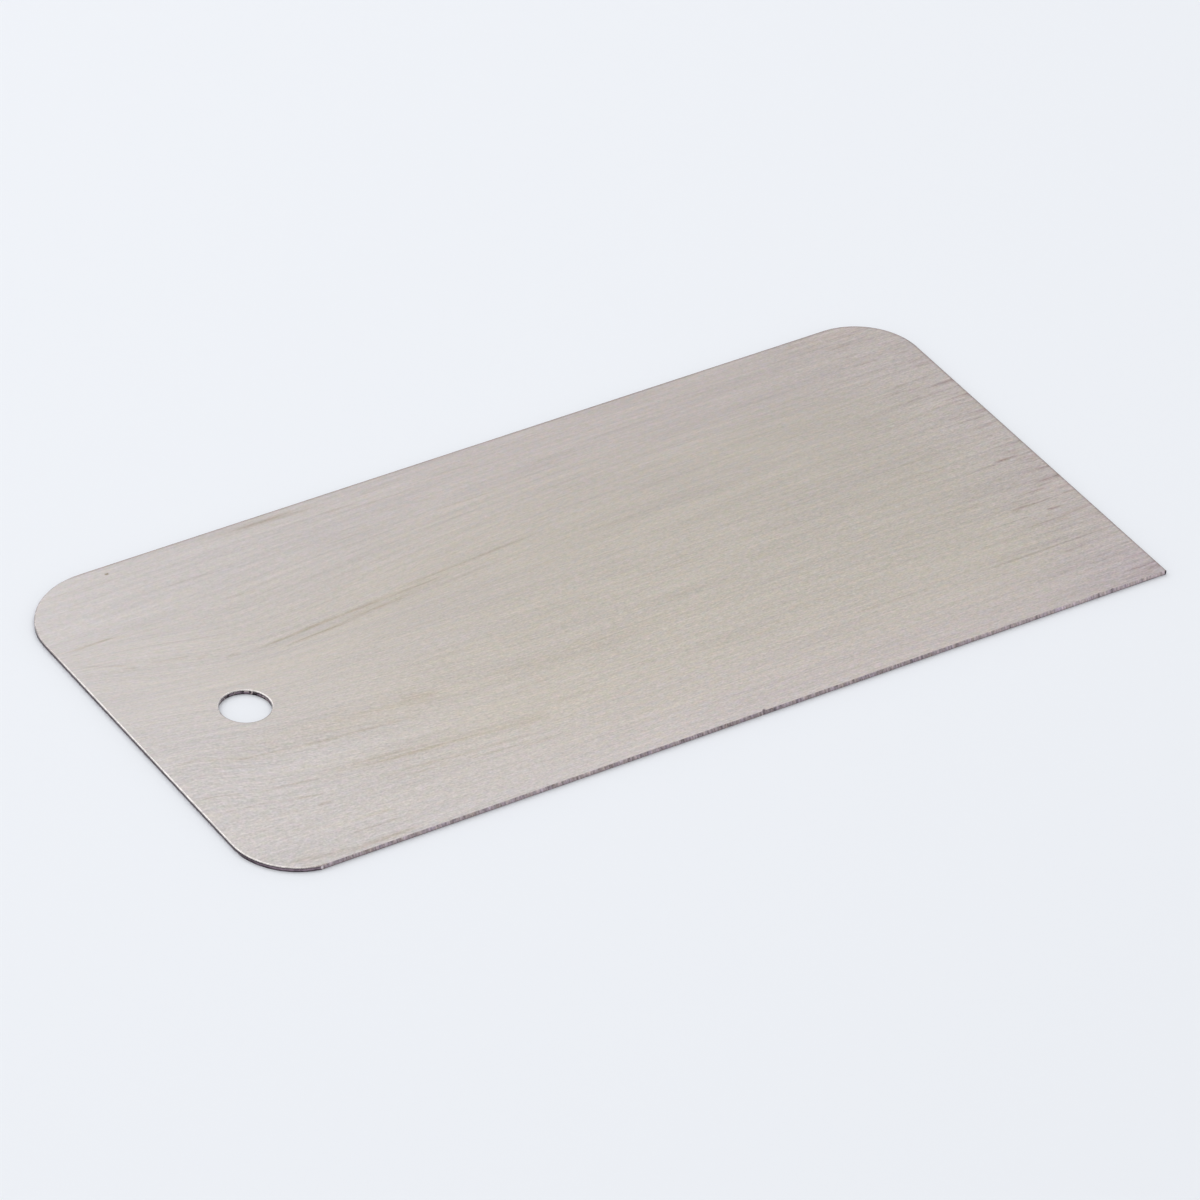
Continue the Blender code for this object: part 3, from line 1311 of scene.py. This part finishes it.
    def slope_tear(self) -> None:
        """Slopes the torn lower part of every punched wall away from the cut."""
        with editing(self.piece):
            bpy.ops.mesh.select_all(action="SELECT")
            cut((0.0, 0.0, self.tear_height), (0.0, 0.0, 1.0))
            select(self.piece, Element.VERTS, lambda v: v.co.z < self.low.z + NEAR)
            bpy.ops.transform.shrink_fatten(value=-self.tear_slope, use_even_offset=True)
            floor = (0.0, 0.0, self.low.z)
            bpy.ops.transform.resize(value=(1.0, 1.0, 0.0), center_override=floor)

    def roll_rims(self) -> None:
        """Rolls the upper rims over, as the punch draws them down."""

        def upper_rim(edge: bmesh.types.BMEdge) -> bool:
            """Whether an edge parts the upper face from a wall."""
            level = all(v.co.z > self.high.z - NEAR for v in edge.verts)
            return level and any(abs(face.normal.z) < self.wall_normal for face in edge.link_faces)

        with editing(self.piece):
            select(self.piece, Element.EDGES, upper_rim)
            round_off(self.roll_over, self.roll_steps, "EDGES")

    def on_ground_edge(self, *verts: bmesh.types.BMVert) -> bool:
        """Whether all these vertices lie in the plane of the ground edge."""
        return all(abs(v.co.y - self.low.y) < NEAR for v in verts)

    def long_on_ground_edge(self, edge: bmesh.types.BMEdge) -> bool:
        """Whether an edge runs along the ground edge, and not on its end caps.

        Args:
            edge: The edge.

        Returns:
            Whether it does.
        """
        run = edge.verts[1].co - edge.verts[0].co
        lengthwise = abs(run.x) > self.shortest_cut_run and abs(run.z) < NEAR
        return lengthwise and self.on_ground_edge(*edge.verts)

    def grind_edge(self) -> None:
        """Grinds the scraping edge straight, and divides it for its grinding marks."""
        with editing(self.piece):
            bpy.ops.mesh.select_all(action="SELECT")
            cut((0.0, self.low.y, 0.0), (0.0, -1.0, 0.0), clear_outer=True, use_fill=True)
            mesh = bmesh.from_edit_mesh(self.piece.data)
            reach = [v.co.x for v in mesh.verts if self.on_ground_edge(v)]
            for place in (min(reach) + self.end_cap, max(reach) - self.end_cap):
                select(self.piece, Element.FACES, lambda f: self.on_ground_edge(*f.verts))
                cut((place, 0.0, 0.0), (1.0, 0.0, 0.0))
            for cuts in self.edge_cuts:
                select(self.piece, Element.EDGES, self.long_on_ground_edge)
                bpy.ops.mesh.subdivide(number_cuts=cuts, smoothness=0.0)

    def score_edge(self) -> None:
        """Cuts fine grinding marks into the ground edge, never proud of it."""
        marks = bpy.data.textures.new("grinding_marks", "CLOUDS")
        marks.noise_scale = self.grind_pitch
        marks.noise_depth = self.grind_layers
        left = self.low.x + self.hanging_front_radius
        right = self.high.x - self.end_cap
        with editing(self.piece):
            select(
                self.piece,
                Element.VERTS,
                lambda v: self.on_ground_edge(v) and left < v.co.x < right,
            )
            bpy.ops.object.vertex_group_assign_new()
        apply_modifier(
            self.piece,
            "DISPLACE",
            texture=marks,
            texture_coords="LOCAL",
            direction="Y",
            mid_level=0.0,
            strength=self.grind_depth,
            vertex_group=self.piece.vertex_groups.active.name,
        )
        self.piece.vertex_groups.clear()

    def nick_edge(self) -> None:
        """Dents the upper arris of the ground edge in a few places."""
        front = self.low.y + 2.0 * self.grind_depth
        with editing(self.piece):
            for nick in self.nicks:
                select(
                    self.piece,
                    Element.VERTS,
                    lambda v: v.co.y < front
                    and v.co.z > self.high.z - NEAR
                    and abs(v.co.x - nick.x) < nick.half_width,
                )
                bpy.ops.transform.translate(value=(0.0, nick.depth, 0.0))

    def smooth(self) -> None:
        """Shades the rolled rims smooth, and keeps the flat faces flat."""
        pick(self.piece)
        bpy.ops.object.shade_smooth_by_angle(angle=self.smooth_angle)
        apply_modifier(
            self.piece, "WEIGHTED_NORMAL", mode="FACE_AREA", weight=self.normal_weight, keep_sharp=True
        )

    def region_of(self, normal: Vector, centre: Vector) -> Region:
        """Finds which part of the surface a face belongs to.

        Args:
            normal: The face's normal.
            centre: Its middle.

        Returns:
            The region.
        """
        if abs(normal.z) > self.flat_normal:
            return Region.FACE
        in_front = normal.y < -self.wall_normal and centre.y < self.low.y + self.ground_band
        if in_front and centre.x > self.kink_x:
            return Region.GROUND_EDGE
        return Region.ROLLED_RIM if normal.z > self.rolled_normal else Region.PUNCHED_WALL

    def unwrap(self) -> None:
        """Lays the surface flat: the two faces one above the other, the walls in strips between."""
        mesh = self.piece.data
        layer = mesh.uv_layers.new(name=BAKE_MAP)
        flat = self.layout
        for face in mesh.polygons:
            normal = face.normal
            region = self.region_of(normal, face.center)
            for loop in face.loop_indices:
                place = mesh.vertices[mesh.loops[loop].vertex_index].co - self.low
                x, y, z = (length * flat.scale for length in place)
                if region is Region.FACE:
                    base = flat.upper_face if normal.z > 0.0 else flat.underside
                    spot = (flat.left + x, base + y)
                elif abs(normal.y) > abs(normal.x):
                    base = flat.front_wall if normal.y < 0.0 else flat.back_wall
                    spot = (flat.left + x, base + z)
                else:
                    left = flat.left if normal.x < 0.0 else flat.plain_end_left
                    spot = (left + y, flat.end_walls + z)
                layer.data[loop].uv = spot

    def dress(self) -> None:
        """Gives each part of the surface its finish and hands the blade to the frame."""
        half_length = (self.high.x - self.low.x) / 2.0 / MM
        face = BrushedSteel(
            smears=SMEARS,
            half_length=half_length,
            half_width=(self.high.y - self.low.y) / 2.0 / MM,
            plain_radius=self.plain_back_radius / MM,
        )
        finishes = {
            Region.FACE: face,
            Region.ROLLED_RIM: RolledRim(self.hole_centre.x / MM, self.hole_centre.y / MM),
            Region.PUNCHED_WALL: PunchedWall(self.thickness / MM),
            Region.GROUND_EDGE: GroundEdge(half_length, self.kink_x / MM),
        }
        for region in Region:
            self.piece.data.materials.append(finishes[region].build())
        with editing(self.piece):
            for region in Region:
                select(
                    self.piece,
                    Element.FACES,
                    lambda f: self.region_of(f.normal, f.calc_center_median()) is region,
                )
                self.piece.active_material_index = region.value
                bpy.ops.object.material_slot_assign()
        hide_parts(CAD_NODE)
        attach(self.piece, BODY)


@dataclass
class Lamp:
    """A soft square panel light that faces the blade."""

    name: str
    place: tuple[float, float, float]
    side: float
    radiance: float
    lights_metal: bool = True

    def build(self) -> bpy.types.Object:
        """Hangs the lamp and turns it to the blade.

        Returns:
            The lamp's object.
        """
        away = Vector(self.place)
        turn = away.to_track_quat("Z", "Y").to_euler()
        bpy.ops.object.select_all(action="DESELECT")
        bpy.ops.object.light_add(type="AREA", location=away, rotation=turn)
        lamp = bpy.context.object
        lamp.name = lamp.data.name = self.name
        lamp.data.shape = "SQUARE"
        lamp.data.size = self.side
        lamp.data.energy = self.radiance * math.pi * self.side**2
        lamp.visible_glossy = self.lights_metal
        return lamp


@dataclass
class Studio:
    """A plain pale floor under a pale sky, lit by soft panels."""

    floor_top: float
    floor_side: float = 12.0
    floor_colour: Colour = (0.847, 0.871, 0.913)
    floor_roughness: float = 0.9
    sky_low: Colour = (0.86, 0.87, 0.89)
    sky_high: Colour = (0.49, 0.49, 0.49)
    sky_top: Colour = (0.05, 0.05, 0.05)
    sky_rise: Span = (0.05, 0.60)
    sky_close: Span = (0.80, 0.95)
    lamps: tuple[Lamp, ...] = (
        Lamp("overhead_panel", (-0.110, 0.191, 0.769), 1.5, 1.0),
        Lamp("floor_fill", (0.0, 0.0, 1.5), 2.5, 0.16, lights_metal=False),
    )

    def build(self) -> None:
        """Lays the floor, paints the sky and hangs the lamps."""
        self.lay_floor()
        self.paint_sky()
        for lamp in self.lamps:
            lamp.build()

    def lay_floor(self) -> None:
        """Lays the floor just under the blade."""
        bpy.ops.object.select_all(action="DESELECT")
        bpy.ops.mesh.primitive_plane_add(size=self.floor_side, location=(0.0, 0.0, 0.0))
        floor = bpy.context.object
        floor.name = floor.data.name = "floor"
        with editing(floor):
            bpy.ops.mesh.select_all(action="SELECT")
            bpy.ops.transform.translate(value=(0.0, 0.0, self.floor_top))
        material = bpy.data.materials.new("pale_floor")
        material.use_nodes = True
        shader = material.node_tree.nodes["Principled BSDF"]
        shader.inputs["Base Color"].default_value = (*self.floor_colour, 1.0)
        shader.inputs["Roughness"].default_value = self.floor_roughness
        shader.inputs["Specular IOR Level"].default_value = 0.0
        floor.data.materials.append(material)

    def paint_sky(self) -> None:
        """Makes a sky that is pale at the horizon, dimmer higher up and dark behind the panel."""
        world = bpy.data.worlds.new("pale_sky")
        world.use_nodes = True
        bpy.context.scene.world = world
        graph = ShaderGraph(world.node_tree)
        towards = graph.node("SeparateXYZ")
        graph.feed(towards.inputs[0], graph.node("TexCoord").outputs["Generated"])
        height = towards.outputs["Z"]
        sides = graph.blend(graph.fade(height, self.sky_rise), self.sky_low, self.sky_high)
        sky = graph.blend(graph.fade(height, self.sky_close), sides, self.sky_top)
        graph.feed(world.node_tree.nodes["Background"].inputs["Color"], sky)


@dataclass
class PhotoCamera:
    """The camera at the photograph's viewing angle."""

    place: tuple[float, float, float] = (-0.44154, -0.66266, 0.58202)
    right: tuple[float, float, float] = (0.84640, -0.53105, 0.03980)
    up: tuple[float, float, float] = (0.28722, 0.51816, 0.80561)
    lens: float = 258.02
    sensor: float = 36.0

    def build(self) -> bpy.types.Object:
        """Sets the camera up and makes it the scene's.

        Returns:
            The camera's object.
        """
        right = Vector(self.right).normalized()
        up = Vector(self.up)
        up = (up - right * up.dot(right)).normalized()
        back = right.cross(up)
        turn = Matrix((right, up, back)).transposed()
        bpy.ops.object.select_all(action="DESELECT")
        bpy.ops.object.camera_add(location=self.place, rotation=turn.to_euler())
        camera = bpy.context.object
        camera.name = camera.data.name = "photo_camera"
        camera.data.sensor_width = self.sensor
        camera.data.lens = self.lens
        bpy.context.scene.camera = camera
        return camera


def main() -> None:
    """Builds the blade over its frame, then the studio and the camera."""
    logging.basicConfig(level=logging.INFO, format="%(name)s: %(message)s")
    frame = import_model()
    bpy.context.scene.view_settings.view_transform = "Standard"
    low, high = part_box(CAD_NODE)
    opening = frame["record"]["physics"]["openings"][0]["box_m"]
    hole_centre = (Vector(opening[0]) + Vector(opening[1])) / 2.0
    blade = ScraperBlade(low, high, hole_centre)
    piece = blade.build()
    blade.dress()
    log.info("%s: %d faces", piece.name, len(piece.data.polygons))
    Studio(floor_top=low.z - FLOOR_GAP).build()
    log.info("studio: floor, sky and lamps")
    PhotoCamera().build()
    log.info("camera set")


if __name__ == "__main__":
    main()
